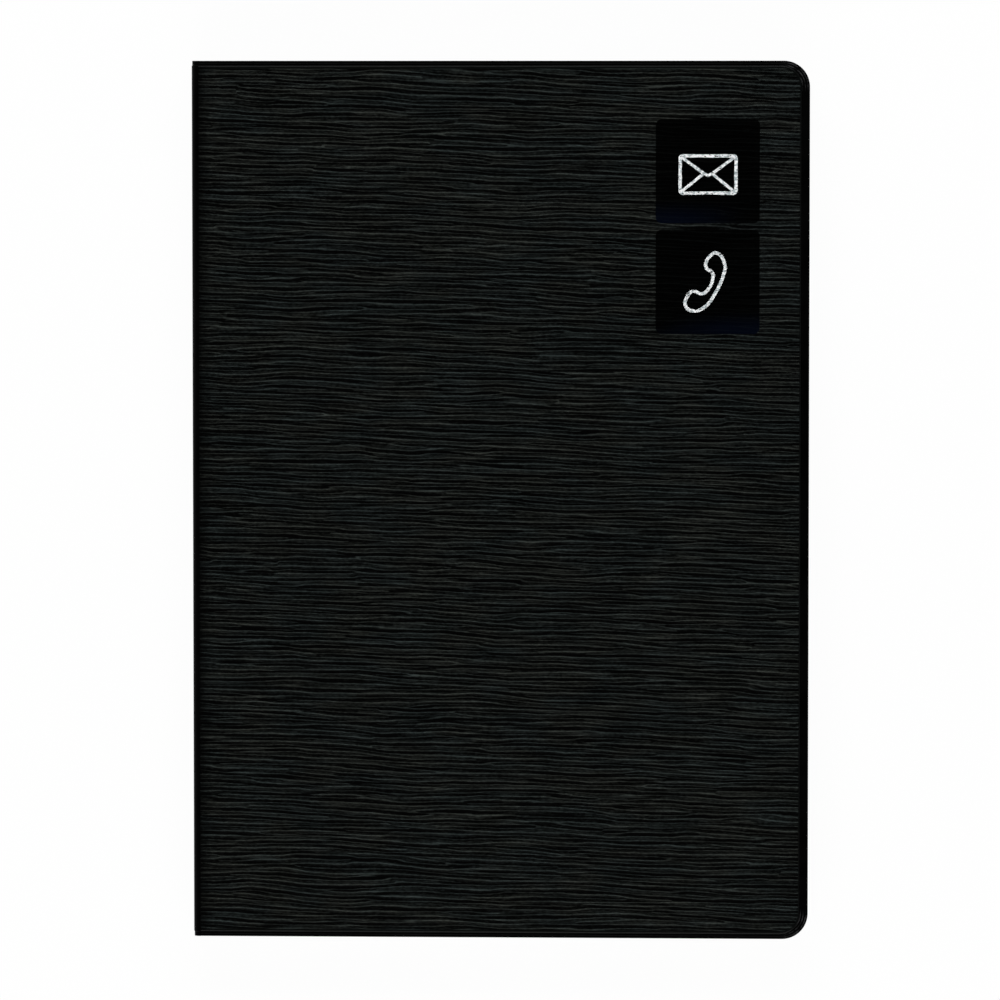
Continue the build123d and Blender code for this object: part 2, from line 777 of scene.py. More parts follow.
@dataclass(frozen=True)
class StreakGrain:
    """The embossed grain: long wavy ridges from spine to fore-edge that part and join."""

    broad: LineField = LineField(2.06, 5.0, 3.6)
    broad_wave: float = 0.85
    fine: LineField = LineField(1.0, 2.8, 5.0, start=41.0)
    fine_waves: tuple[float, ...] = (1.2, 0.8, 0.25)
    tilt: float = 0.03
    sway: Drift = Drift(30.0, 12.0, 2.2)
    ripple: Drift = Drift(7.0, 2.2, 0.65)
    lens: Drift = Drift(9.0, 0.9, 2.8)
    breaks: Drift = Drift(0.9, 0.35, 3.8)
    lowest: float = -1.7
    highest: float = 3.7
    steepness: float = 1.7

    def ridge(self, wiring: Wiring, along: Feed, across: Feed) -> Socket:
        """Build the pattern in a node tree.

        Args:
            wiring: The tree to build in.
            along: The distance along the streaks, in millimetres.
            across: The distance across them, in millimetres.

        Returns:
            The height, from 0 in a groove to 1 on a ridge.
        """
        level = wiring.plus(across, wiring.times(along, self.tilt))
        swayed = wiring.plus(level, self.sway.wire(wiring, along, level))
        rippled = wiring.plus(swayed, self.ripple.wire(wiring, along, swayed))
        broad = self.broad.wire(wiring, along, rippled)
        fine = self.fine.wire(wiring, along, rippled)
        height = wiring.times(wiring.math("SINE", broad), self.broad_wave)
        for order, strength in enumerate(self.fine_waves, start=1):
            wave = wiring.math("COSINE", wiring.times(fine, float(order)))
            height = wiring.plus(height, wiring.times(wave, strength))
        for uneven in (self.lens, self.breaks):
            height = wiring.plus(height, uneven.wire(wiring, along, rippled))
        share = wiring.share(height, self.lowest, self.highest)
        return wiring.math("POWER", share, self.steepness)


@dataclass(frozen=True)
class PressedSquares:
    """The two smooth squares ironed into the grain, one above the other.

    Lengths are metres.
    """

    side: float = 25.6 * MM
    radius: float = 1.5 * MM
    spacing: float = 1.65 * MM
    from_fore_edge: float = 12.25 * MM
    from_head: float = 14.3 * MM
    depth: float = 0.15 * MM
    wall: float = 0.2 * MM

    def centres(self, sizes: BookSizes) -> tuple[Vector, Vector]:
        """Find the middle of the upper and the lower square on the front.

        Args:
            sizes: The book's sizes.

        Returns:
            The upper and the lower centre, at the squares' floor.
        """
        x = sizes.right - self.from_fore_edge - self.side / 2
        upper = sizes.half_height - self.from_head - self.side / 2
        floor = sizes.thickness - self.depth
        lower = upper - self.side - self.spacing
        return Vector((x, upper, floor)), Vector((x, lower, floor))

    def mask(self, wiring: Wiring, sizes: BookSizes, x: Socket, y: Socket) -> Socket:
        """Build a mask that is 1 on both squares' floors and 0 outside.

        Args:
            wiring: The tree to build in.
            sizes: The book's sizes.
            x: The distance towards the fore-edge.
            y: The distance towards the head.

        Returns:
            The mask, soft over the squares' walls.
        """
        upper, lower = self.centres(sizes)
        middle = (upper + lower) / 2
        across = wiring.minus(x, middle.x)
        # The lower square is the upper one mirrored at the middle between them
        up = wiring.math("ABSOLUTE", wiring.minus(y, middle.y))
        up = wiring.minus(up, upper.y - middle.y)
        edge = wiring.rounded_edge(across, up, (self.side / 2, self.side / 2), self.radius)
        return wiring.ramp(edge, self.wall / 2, -self.wall / 2)

    def lower_edge(self, wiring: Wiring, sizes: BookSizes, y: Socket) -> Socket:
        """Build a mask that rises towards the tail side of each square.

        Args:
            wiring: The tree to build in.
            sizes: The book's sizes.
            y: The distance towards the head.

        Returns:
            The mask, 0 in a square's middle and 1 at its lower edge.
        """
        upper, lower = self.centres(sizes)
        head_side = wiring.math("GREATER_THAN", y, (upper.y + lower.y) / 2)
        middle = wiring.between(head_side, lower.y, upper.y)
        return wiring.ramp(wiring.minus(middle, y), self.side / 4, self.side / 2)


# Finishes


class Palette:
    """Makes the node groups that several finishes share, each once."""

    MOTTLE_EDGE = (0.3, 0.7)

    @staticmethod
    @cache
    def streaks(grain: StreakGrain) -> bpy.types.NodeTree:
        """Make the group that gives the embossed grain's height.

        Args:
            grain: The grain's sizes.

        Returns:
            A group from a place in metres to a ridge height.
        """
        inputs = {"Along": Plug.NUMBER, "Across": Plug.NUMBER}
        wiring, start, end = Wiring.group(
            "embossed_streaks", Tree.SHADER, inputs, {"Ridge": Plug.NUMBER}
        )
        along, across = (wiring.times(start.outputs[name], PER_MM) for name in inputs)
        wiring.feed(end.inputs["Ridge"], grain.ridge(wiring, along, across))
        return wiring.tree

    @staticmethod
    @cache
    def mottle() -> bpy.types.NodeTree:
        """Make the group that gives an even or stretched mottle.

        Returns:
            A group from a vector, a size in millimetres and a number of layers to a mask.
        """
        inputs = {"Vector": Plug.VECTOR, "Size": Plug.NUMBER, "Detail": Plug.NUMBER}
        wiring, start, end = Wiring.group("mottle", Tree.SHADER, inputs, {"Mask": Plug.NUMBER})
        vector, size, detail = (start.outputs[name] for name in inputs)
        noise = wiring.noise(vector, wiring.math("DIVIDE", PER_MM, size), detail)
        wiring.feed(end.inputs["Mask"], wiring.ramp(noise, *Palette.MOTTLE_EDGE))
        return wiring.tree


@dataclass(frozen=True)
class Finish:
    """A surface finish: a name, a main colour and a gloss, built from nodes.

    Sizes of mottles are millimetres and all other lengths metres.
    """

    name: str
    colour: Colour
    roughness: float
    specular: float = 0.5

    def material(self) -> bpy.types.Material:
        """Make the finish's material.

        Returns:
            A material whose nodes this finish has wired.
        """
        material = bpy.data.materials.new(self.name)
        wiring = Wiring.fresh(material)
        surface = wiring.add("ShaderNodeBsdfPrincipled")
        output = wiring.add("ShaderNodeOutputMaterial")
        wiring.feed(output.inputs["Surface"], surface.outputs["BSDF"])
        wiring.plug(surface, {"Roughness": self.roughness, "Specular IOR Level": self.specular})
        place = wiring.add("ShaderNodeTexCoord").outputs["Object"]
        wiring.plug(surface, self.wire(wiring, place))
        return material

    def wire(self, wiring: Wiring, place: Socket) -> dict[str, Feed]:
        """Wire the finish's colour, gloss and relief.

        Args:
            wiring: The material's tree.
            place: The Object coordinate.

        Returns:
            What the surface shader's inputs get, by name.
        """
        raise NotImplementedError

    @staticmethod
    def mottled(wiring: Wiring, place: Socket, size: float, detail: float = 2.0) -> Socket:
        """Place the shared mottle.

        Args:
            wiring: The material's tree.
            place: The coordinate to read it at.
            size: The size of its patches, in millimetres.
            detail: How many finer layers it has.

        Returns:
            The mottle's mask.
        """
        values = {"Vector": place, "Size": size, "Detail": detail}
        return wiring.use(Palette.mottle(), values)


@dataclass(frozen=True)
class GrainedVinyl(Finish):
    """Black vinyl with painted light on its ridges and painted shade in its grooves. Its own
    colour is that of the grooves.
    """

    colour: Colour = linear(1, 1, 1)
    roughness: float = 0.32
    specular: float = 0.04
    # Colours of the painted light on the ridges
    warm: Colour = linear(59, 62, 58)
    cool: Colour = linear(54, 61, 60)
    patch_stretch: float = 0.3
    patch_size: float = 4.0
    # The painted ridge light is fainter in streaks
    ridge_light_stretch: float = 0.1
    ridge_light_size: float = 0.9
    faintest: float = 0.7
    groove_matt: float = 0.08
    pore_size: float = 0.16
    pore_height: float = 0.2
    relief: float = 0.02 * MM
    shoulder_gloss: float = 0.3
    # Painted highlight on the ironed shoulder; fold_shade is painted shade on the ridges towards
    # the fold
    shoulder_light: float = 0.06
    fold_shade: Dot = (-0.8 * MM, 2.9 * MM)
    # Painted reflection: a blue sheen towards the lower edge of each pressed square
    painted_blue_sheen: Colour = linear(2, 5, 15)
    blue_sheen_size: float = 9.0
    floor_gloss: float = 0.26
    # Painted light on the faint grain left in the squares' floors
    floor_light: float = 0.05
    floor_relief: float = 0.1
    grain: StreakGrain = StreakGrain()
    shift: float = 0.0
    squares: Optional[PressedSquares] = None
    sizes: Optional[BookSizes] = None

    def wire(self, wiring: Wiring, place: Socket) -> dict[str, Feed]:
        """Wire painted light on the ridges, painted shade in the grooves, tints along the streaks
        and pressed squares with a painted blue sheen.

        Args:
            wiring: The material's tree.
            place: The Object coordinate.

        Returns:
            What the surface shader's inputs get, by name.
        """
        x, y, z = wiring.split(place)
        along = wiring.plus(x, z, self.shift)
        ridge = wiring.use(Palette.streaks(self.grain), {"Along": along, "Across": y})
        patches = wiring.vector(wiring.times(along, self.patch_stretch), y, z)
        streaks = wiring.vector(wiring.times(along, self.ridge_light_stretch), y, z)
        tone = self.mottled(wiring, patches, self.patch_size, 1.0)
        ridge_light_streaks = self.mottled(wiring, streaks, self.ridge_light_size, 1.0)
        # Painted light: the ridges get the lit crest colour, fainter in streaks, and the grooves
        # keep the near-black colour as painted shade
        crest = wiring.tint(tone, self.warm, self.cool)
        light = wiring.times(ridge, wiring.between(ridge_light_streaks, self.faintest, 1.0))
        gloss = wiring.between(ridge, self.roughness + self.groove_matt, self.roughness)
        if self.sizes is not None:
            left_over = self.sizes.ironed(wiring, x, y)
            folded = wiring.share(x, *(self.sizes.panel_left + reach for reach in self.fold_shade))
            ridge = wiring.times(ridge, left_over)
            # Painted highlight on the ironed shoulder, then painted shade towards the fold
            light = wiring.between(left_over, self.shoulder_light, light)
            light = wiring.times(light, folded)
            gloss = wiring.between(left_over, self.shoulder_gloss, gloss)
        pores = self.mottled(wiring, place, self.pore_size)
        height = wiring.plus(wiring.times(pores, self.pore_height), ridge)
        colour = wiring.tint(light, self.colour, crest)
        if self.squares is not None:
            mask = self.squares.mask(wiring, self.sizes, x, y)
            # Painted reflection: a blue sheen in patches towards each square's lower edge
            low = self.squares.lower_edge(wiring, self.sizes, y)
            glow = wiring.times(low, self.mottled(wiring, patches, self.blue_sheen_size, 0.0))
            floor = wiring.tint(glow, self.colour, self.painted_blue_sheen)
            # Painted light on the faint grain left in the squares' floors
            floor = wiring.tint(wiring.times(ridge, self.floor_light), floor, crest)
            colour = wiring.tint(mask, colour, floor)
            gloss = wiring.between(mask, gloss, self.floor_gloss)
            height = wiring.between(mask, height, wiring.times(ridge, self.floor_relief))
        return {
            "Base Color": colour,
            "Roughness": gloss,
            "Normal": wiring.bump(height, 1.0, self.relief),
        }


@dataclass(frozen=True)
class SmoothVinyl(Finish):
    """Plain black vinyl sheet, pressed smooth, with faint pores and rub marks.

    With the book's sizes it also has fine creases round the cover's fore-edge corners, drawn as
    painted highlights.
    """

    specular: float = 0.05
    rubbed: Colour = linear(22, 22, 25)
    rub_size: float = 7.0
    rub_share: float = 0.6
    rub_gloss: Dot = (-0.05, 0.08)
    pore_size: float = 0.3
    pore_strength: float = 0.2
    pore_depth: float = 0.03 * MM
    sizes: Optional[BookSizes] = None
    # Colour of the painted highlights on the corner creases
    crease_highlight: Colour = linear(56, 56, 57)
    crease_pitch: float = 0.65 * MM
    crease_rise: Dot = (0.1, 1.0)
    crease_reach: Dot = (-1.5 * MM, 2.0 * MM)
    crease_gaps: float = 1.2

    def wire(self, wiring: Wiring, place: Socket) -> dict[str, Feed]:
        """Wire faint rubbing in the colour and gloss, painted highlights on creases and fine
        pores.

        Args:
            wiring: The material's tree.
            place: The Object coordinate.

        Returns:
            What the surface shader's inputs get, by name.
        """
        rub = self.mottled(wiring, place, self.rub_size, 3.0)
        colour = wiring.tint(wiring.times(rub, self.rub_share), self.colour, self.rubbed)
        if self.sizes is not None:
            # Painted highlights along the creases round the fore-edge corners
            colour = wiring.tint(self.crease_highlights(wiring, place), colour, self.crease_highlight)
        gloss = wiring.between(rub, *(self.roughness + change for change in self.rub_gloss))
        pores = self.mottled(wiring, place, self.pore_size, 1.0)
        return {
            "Base Color": colour,
            "Roughness": gloss,
            "Normal": wiring.bump(pores, self.pore_strength, self.pore_depth),
        }

    def crease_highlights(self, wiring: Wiring, place: Socket) -> Socket:
        """Find the painted highlights on the fine creases that run round the cover's fore-edge
        corners.

        Args:
            wiring: The material's tree.
            place: The place in the book's frame.

        Returns:
            How much painted highlight a place gets on the creases, from 0 to 1.
        """
        right, half, radius = self.sizes.right, self.sizes.half_height, self.sizes.corner_radius
        x, y, _ = wiring.split(place)
        edge = wiring.rounded_edge(x, y, (right, half), radius)
        turns = wiring.times(edge, 2 * math.pi / self.crease_pitch)
        lines = wiring.ramp(wiring.math("SINE", turns), *self.crease_rise)
        past_x = wiring.minus(x, right - radius)
        past_y = wiring.minus(wiring.math("ABSOLUTE", y), half - radius)
        corner = wiring.ramp(wiring.math("MINIMUM", past_x, past_y), *self.crease_reach)
        return wiring.times(lines, corner, self.mottled(wiring, place, self.crease_gaps))


@dataclass(frozen=True)
class SilverFoil(Finish):
    """Hot-pressed silver foil, its shine painted as a pale colour in bright and dull patches on a
    nearly non-metallic surface, with tiny breaks where it didn't take.
    """

    # The dull colour and the main colour are the silver's painted reflection
    dull: Colour = linear(190, 200, 202)
    bare: Colour = linear(26, 27, 30)
    patch_size: float = 0.7
    patch_rise: Dot = (0.2, 0.55)
    break_stretch: float = 0.35
    break_size: float = 0.4
    break_rise: Dot = (0.86, 0.97)
    metal: float = 0.02
    crinkle_size: float = 0.25
    crinkle_strength: float = 0.5
    crinkle_depth: float = 0.03 * MM

    def wire(self, wiring: Wiring, place: Socket) -> dict[str, Feed]:
        """Wire painted shine in bright and dull patches, broken specks and a crinkled surface.

        Args:
            wiring: The material's tree.
            place: The Object coordinate.

        Returns:
            What the surface shader's inputs get, by name.
        """
        x, y, z = wiring.split(place)
        patch = self.mottled(wiring, place, self.patch_size, 3.0)
        grooves = wiring.vector(wiring.times(x, self.break_stretch), y, z)
        breaks = wiring.ramp(self.mottled(wiring, grooves, self.break_size), *self.break_rise)
        # Painted reflection: the silver is a pale colour, bright and dull in patches
        silver = wiring.tint(wiring.ramp(patch, *self.patch_rise), self.dull, self.colour)
        crinkle = self.mottled(wiring, place, self.crinkle_size)
        return {
            "Base Color": wiring.tint(breaks, silver, self.bare),
            "Metallic": wiring.between(breaks, self.metal, 0.0),
            "Normal": wiring.bump(crinkle, self.crinkle_strength, self.crinkle_depth),
        }


@dataclass(frozen=True)
class RuledPaper(Finish):
    """Writing paper with printed rules on the page and a line beside the tabs."""

    sizes: Optional[BookSizes] = None
    rule: Colour = linear(150, 160, 176)
    strong_rule: Colour = linear(96, 104, 120)
    rule_pitch: float = 7.0 * MM
    rule_width: float = 0.16 * MM
    entry_lines: int = 5
    margin: float = 9.0 * MM
    head_margin: float = 13.5 * MM
    tab_margin: float = 4.5 * MM
    fibre: Colour = linear(226, 222, 208)
    fibre_size: float = 0.5
    fibre_share: float = 0.35
    fibre_strength: float = 0.15
    fibre_depth: float = 0.02 * MM

    def wire(self, wiring: Wiring, place: Socket) -> dict[str, Feed]:
        """Wire fibres, ruled lines, entry lines and the tab column's edge.

        Args:
            wiring: The material's tree.
            place: The Object coordinate.

        Returns:
            What the surface shader's inputs get, by name.
        """
        x, y, _ = wiring.split(place)
        sizes = self.sizes
        fibre = self.mottled(wiring, place, self.fibre_size, 4.0)
        colour = wiring.tint(wiring.times(fibre, self.fibre_share), self.colour, self.fibre)
        page_right = sizes.leaf_right - sizes.tab_depth
        top = sizes.leaf_half_height - self.head_margin
        on_page = wiring.times(
            wiring.math("GREATER_THAN", x, sizes.leaf_left + self.margin),
            wiring.math("LESS_THAN", x, page_right - self.tab_margin),
            wiring.math("LESS_THAN", y, top + self.rule_width),
            wiring.math("GREATER_THAN", y, self.margin - sizes.leaf_half_height),
        )
        down = wiring.minus(top, y)
        for count, ink in ((1, self.rule), (self.entry_lines, self.strong_rule)):
            lines = self.lines(wiring, down, count * self.rule_pitch)
            colour = wiring.tint(wiring.times(on_page, lines), colour, ink)
        edge = wiring.math("ABSOLUTE", wiring.minus(x, page_right))
        column = wiring.math("LESS_THAN", edge, self.rule_width / 2)
        return {
            "Base Color": wiring.tint(column, colour, self.rule),
            "Normal": wiring.bump(fibre, self.fibre_strength, self.fibre_depth),
        }

    def lines(self, wiring: Wiring, distance: Socket, pitch: float) -> Socket:
        """Rule lines at an even pitch.

        Args:
            wiring: The material's tree.
            distance: The distance down the page.
            pitch: The distance between lines.

        Returns:
            A mask that is 1 on the lines.
        """
        shifted = wiring.plus(distance, self.rule_width / 2)
        within = wiring.math("FLOORED_MODULO", shifted, pitch)
        return wiring.math("LESS_THAN", within, self.rule_width)


@dataclass(frozen=True)
class FibreSheet(Finish):
    """Card, board or gauze: a plain fibrous sheet with a weave or flecks."""

    fleck: Colour = linear(200, 196, 184)
    fleck_size: float = 0.8
    fleck_share: float = 0.7
    weave: float = 0.0
    thread_rise: Dot = (0.2, 0.7)
    relief_strength: float = 0.3
    relief_depth: float = 0.05 * MM

    def wire(self, wiring: Wiring, place: Socket) -> dict[str, Feed]:
        """Wire flecks in the colour, and fibres or a weave in the relief.

        Args:
            wiring: The material's tree.
            place: The Object coordinate.

        Returns:
            What the surface shader's inputs get, by name.
        """
        if self.weave:
            turns = 2 * math.pi / self.weave
            _, y, z = wiring.split(place)
            threads = [wiring.math("SINE", wiring.times(way, turns)) for way in (y, z)]
            height = wiring.math("MAXIMUM", *threads)
            colour = wiring.tint(wiring.ramp(height, *self.thread_rise), self.fleck, self.colour)
        else:
            height = self.mottled(wiring, place, self.fleck_size, 4.0)
            colour = wiring.tint(wiring.times(height, self.fleck_share), self.colour, self.fleck)
        relief = wiring.bump(height, self.relief_strength, self.relief_depth)
        return {"Base Color": colour, "Normal": relief}


@dataclass(frozen=True)
class PrintInk(Finish):
    """Black printing ink, thin enough to show the paper's fibres."""

    thin: Colour = linear(58, 58, 62)
    film_size: float = 0.3
    thin_share: float = 0.5

    def wire(self, wiring: Wiring, place: Socket) -> dict[str, Feed]:
        """Wire a slightly uneven ink film."""
        film = wiring.times(self.mottled(wiring, place, self.film_size, 3.0), self.thin_share)
        return {"Base Color": wiring.tint(film, self.colour, self.thin)}


# Sub-assemblies


@dataclass
class GrainSheet:
    """A sheet with the grain pressed into it, built flat and facing up.

    The shoulder's profile gives each step's way out and down, as shares of the shoulder.
    """

    name: str
    left: float
    right: float
    half_height: float
    top: float
    grain: StreakGrain
    corner_radius: float = 0.0
    shift: float = 0.0
    squares: Optional[PressedSquares] = None
    sizes: Optional[BookSizes] = None
    relief: float = 0.09 * MM
    ghost: float = 0.12
    row_step: float = 0.2 * MM
    column_step: float = 2.6 * MM
    fewest_columns: int = 4
    edge_columns: tuple[float, ...] = (0.35 * MM, 0.7 * MM)
    floor_columns: tuple[float, ...] = (0.5 * MM, 0.9 * MM)
    shoulder: float = 0.45 * MM
    shoulder_profile: tuple[Dot, ...] = ((0.6, 0.2), (0.3, 0.35), (0.1, 0.45))
    skirt: float = 0.3 * MM
    smooth_degrees: float = 60.0

    def build(self) -> Piece:
        """Make the sheet, its pressed grain, its rounded shoulder and its underside.

        Returns:
            The closed sheet.
        """
        columns = self.columns()
        rows = round(2 * self.half_height / self.row_step)
        Bench.clear()
        bpy.ops.mesh.primitive_grid_add(
            x_subdivisions=len(columns) - 1, y_subdivisions=rows, size=1.0
        )
        sheet = Bench.settle(self.name)
        self.place(sheet, columns)
        self.press(sheet)
        self.close(sheet)
        Bench.smooth(sheet, self.smooth_degrees)
        return sheet

    def columns(self) -> np.ndarray:
        """Choose where the columns of faces lie, closer at the pressed squares' walls.

        Returns:
            The columns' places from left to right.
        """
        end = self.right - self.shoulder
        steps = max(self.fewest_columns, round((end - self.left) / self.column_step))
        places = list(np.linspace(self.left, end, steps + 1))
        if self.sizes is not None:
            places += [end - depth for depth in self.edge_columns]
        if self.squares is not None:
            centre = self.squares.centres(self.sizes)[0].x
            wall, half = self.squares.wall, self.squares.side / 2
            wall_columns = (-wall / 2, 0.0, wall / 2, wall)
            for depth in (*wall_columns, *self.floor_columns, self.squares.radius):
                places += [centre - half + depth, centre + half - depth]
        return np.array(sorted(places))

    def place(self, sheet: Piece, columns: np.ndarray) -> None:
        """Set the flat grid to the sheet's outline, with rows ending on the corners' arcs.

        Args:
            sheet: The grid, one unit wide.
            columns: Where its columns go.
        """
        mesh = sheet.data
        flat = np.empty(len(mesh.vertices) * 3, np.float32)
        mesh.vertices.foreach_get("co", flat)
        grid = flat.reshape(-1, 3).astype(float)
        half = self.half_height - self.shoulder
        index = np.rint((grid[:, 0] + 0.5) * (len(columns) - 1)).astype(int)
        x, y = columns[index], grid[:, 1] * 2 * half
        radius = max(self.corner_radius - self.shoulder, 0.0)
        past = np.clip(np.abs(y) - (half - radius), 0.0, radius)
        tuck = radius - np.sqrt(radius**2 - past**2)
        share = (x - columns[0]) / (columns[-1] - columns[0])
        placed = np.stack([x - share * tuck, y, np.full_like(x, self.top)], axis=1)
        mesh.vertices.foreach_set("co", placed.astype(np.float32).ravel())
        mesh.update()

    def press(self, sheet: Piece) -> None:
        """Press grooves and squares into the sheet with an applied modifier.

        Args:
            sheet: The flat sheet.
        """
        shape = {"Geometry": Plug.MESH}
        wiring, start, end = Wiring.group(self.name + "_press", Tree.MESH, shape, shape)
        x, y, z = wiring.split(wiring.add("GeometryNodeInputPosition").outputs[0])
        along = wiring.plus(x, z, self.shift)
        ridge = self.grain.ridge(wiring, wiring.times(along, PER_MM), wiring.times(y, PER_MM))
        groove = wiring.times(wiring.minus(ridge, 1.0), self.relief)
        if self.sizes is not None:
            groove = wiring.times(groove, self.sizes.ironed(wiring, x, y))
        if self.squares is not None:
            mask = self.squares.mask(wiring, self.sizes, x, y)
            floor = wiring.minus(wiring.times(groove, self.ghost), self.squares.depth)
            groove = wiring.between(mask, groove, floor)
        move = wiring.add("GeometryNodeSetPosition")
        offset = wiring.vector(0.0, 0.0, groove)
        wiring.plug(move, {"Geometry": start.outputs[0], "Offset": offset})
        wiring.feed(end.inputs[0], move.outputs["Geometry"])
        press = sheet.modifiers.new("press", "NODES")
        press.node_group = wiring.tree
        Bench.apply(sheet, press.name)
        bpy.data.node_groups.remove(wiring.tree)

    def close(self, sheet: Piece) -> None:
        """Round the sheet's edge over, drop a skirt from it and close its underside.

        Args:
            sheet: The pressed sheet.
        """
        Bench.pick(sheet, Part.EDGES, lambda edge: edge.is_boundary)
        width = self.right - self.left - self.shoulder
        height = 2 * (self.half_height - self.shoulder)
        for out, down in self.shoulder_profile:
            Bench.pull(Vector((0, 0, -down * self.shoulder)))
            grow = 2 * out * self.shoulder
            bpy.ops.transform.resize(
                value=(1 + grow / 2 / width, 1 + grow / height, 1),
                center_override=(self.left, 0, self.top),
            )
        Bench.pull(Vector((0, 0, -self.skirt)))
        underside = self.top - self.skirt - 2 * self.shoulder
        bpy.ops.transform.resize(value=(1, 1, 0), center_override=(0, 0, underside))
        bpy.ops.mesh.edge_face_add()
        Bench.clear()


@dataclass
class CoverPanel:
    """One cover panel's skin: the grained sheet inside a smooth welded rim.

    Both profiles give each step's way in and up, as shares of the cut edge and of the bead.
    """

    side: Side
    sizes: BookSizes
    grain: StreakGrain
    shift: float = 0.0
    squares: Optional[PressedSquares] = None
    corner_steps: int = 16
    cut_edge: float = 0.12 * MM
    cut_profile: tuple[Dot, ...] = ((0.3, 0.6), (0.4, 0.3), (0.6, 0.1))
    bead_from_face: float = 0.6 * MM
    bead: float = 0.04 * MM
    bead_profile: tuple[Dot, ...] = ((2.0, 0.0), (1.0, 1.0), (0.8, 0.0), (1.0, -1.0), (2.0, 0.0))
    land: float = 1.0 * MM
    smooth_degrees: float = 50.0

    @property
    def node(self) -> str:
        """The CAD node that this panel stands for."""
        return self.side.value + "_cover_skin"

    @property
    def body(self) -> str:
        """The body that this panel rides on."""
        return self.side.value + "_cover"

    def build(self, grained: bpy.types.Material, smooth: bpy.types.Material) -> list[Piece]:
        """Make the panel's two pieces in their place.

        Args:
            grained: The grained sheet's material.
            smooth: The welded rim's material.

        Returns:
            The sheet and the rim.
        """
        sizes = self.sizes
        # A back sheet is pressed in the front's place, one thickness above its own
        raised = sizes.thickness if self.side is Side.BACK else 0.0
        sheet = GrainSheet(
            name=self.side.value + "_grain_sheet",
            left=sizes.panel_left,
            right=sizes.raised_right,
            half_height=sizes.raised_half,
            top=sizes.thickness,
            grain=self.grain,
            corner_radius=sizes.raised_radius,
            shift=self.shift - raised,
            squares=self.squares,
            sizes=sizes,
        ).build()
        rim = self.rim()
        for piece, material in ((sheet, grained), (rim, smooth)):
            if self.side is Side.BACK:
                Bench.mirror_to_back(piece, sizes.thickness)
            Bench.dress(piece, material)
            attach(piece, self.body)
            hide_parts(self.node)
        return [sheet, rim]

    def rim(self) -> Piece:
        """Make the welded rim round head, fore-edge and tail, with its bead.

        Returns:
            The closed rim.
        """
        sizes = self.sizes
        overrun = 4 * sizes.corner_radius
        base = sizes.rim_top - self.cut_edge
        rim = Bench.plane(
            self.side.value + "_weld_rim",
            Vector((sizes.panel_left - overrun, -sizes.half_height, base)),
            Vector((sizes.right, sizes.half_height, base)),
        )
        Bench.pick(rim, Part.VERTS, lambda vert: vert.co.x > 0)
        bpy.ops.mesh.bevel(
            offset=sizes.corner_radius, segments=self.corner_steps, affect="VERTICES"
        )
        self.inset(rim, self.cut_profile, self.cut_edge)
        flat = sizes.weld_head_tail - self.bead_from_face - 2 * self.bead
        self.inset(rim, ((flat, 0.0),))
        self.widen(rim, sizes.weld_fore_edge - sizes.weld_head_tail)
        self.inset(rim, self.bead_profile, self.bead)
        self.inset(rim, ((self.land, 0.0),))
        Bench.pick_largest(rim)
        bpy.ops.mesh.delete(type="FACE")
        Bench.cut(rim, (sizes.panel_left, 0, 0), (1, 0, 0), trim=True)
        Bench.pick_all(rim)
        Bench.pull(Vector((0, 0, sizes.skin_bottom - base)))
        bpy.ops.transform.resize(value=(1, 1, 0), center_override=(0, 0, sizes.skin_bottom))
        Bench.true_up(rim)
        Bench.smooth(rim, self.smooth_degrees)
        return rim

    @staticmethod
    def inset(rim: Piece, profile: Sequence[Dot], unit: float = 1.0) -> None:
        """Inset the rim's middle face by the steps of a profile.

        Args:
            rim: The rim, in edit mode.
            profile: How far each step goes inwards and up.
            unit: The length that the profile is a share of.
        """
        for inwards, up in profile:
            Bench.pick_largest(rim)
            bpy.ops.mesh.inset(thickness=inwards * unit, depth=up * unit, use_even_offset=True)

    @staticmethod
    def widen(rim: Piece, extra: float) -> None:
        """Widen the rim at the fore-edge, where the weld is broader.

        Args:
            rim: The rim, in edit mode.
            extra: How much further its middle face lies from the fore-edge.
        """
        mesh = bmesh.from_edit_mesh(rim.data)
        middle = max(mesh.faces, key=lambda face: face.calc_area())
        inner = {vert.index for vert in middle.verts if vert.co.x > 0}
        Bench.pick(rim, Part.VERTS, lambda vert: vert.index in inner)
        bpy.ops.transform.translate(value=(-extra, 0, 0))


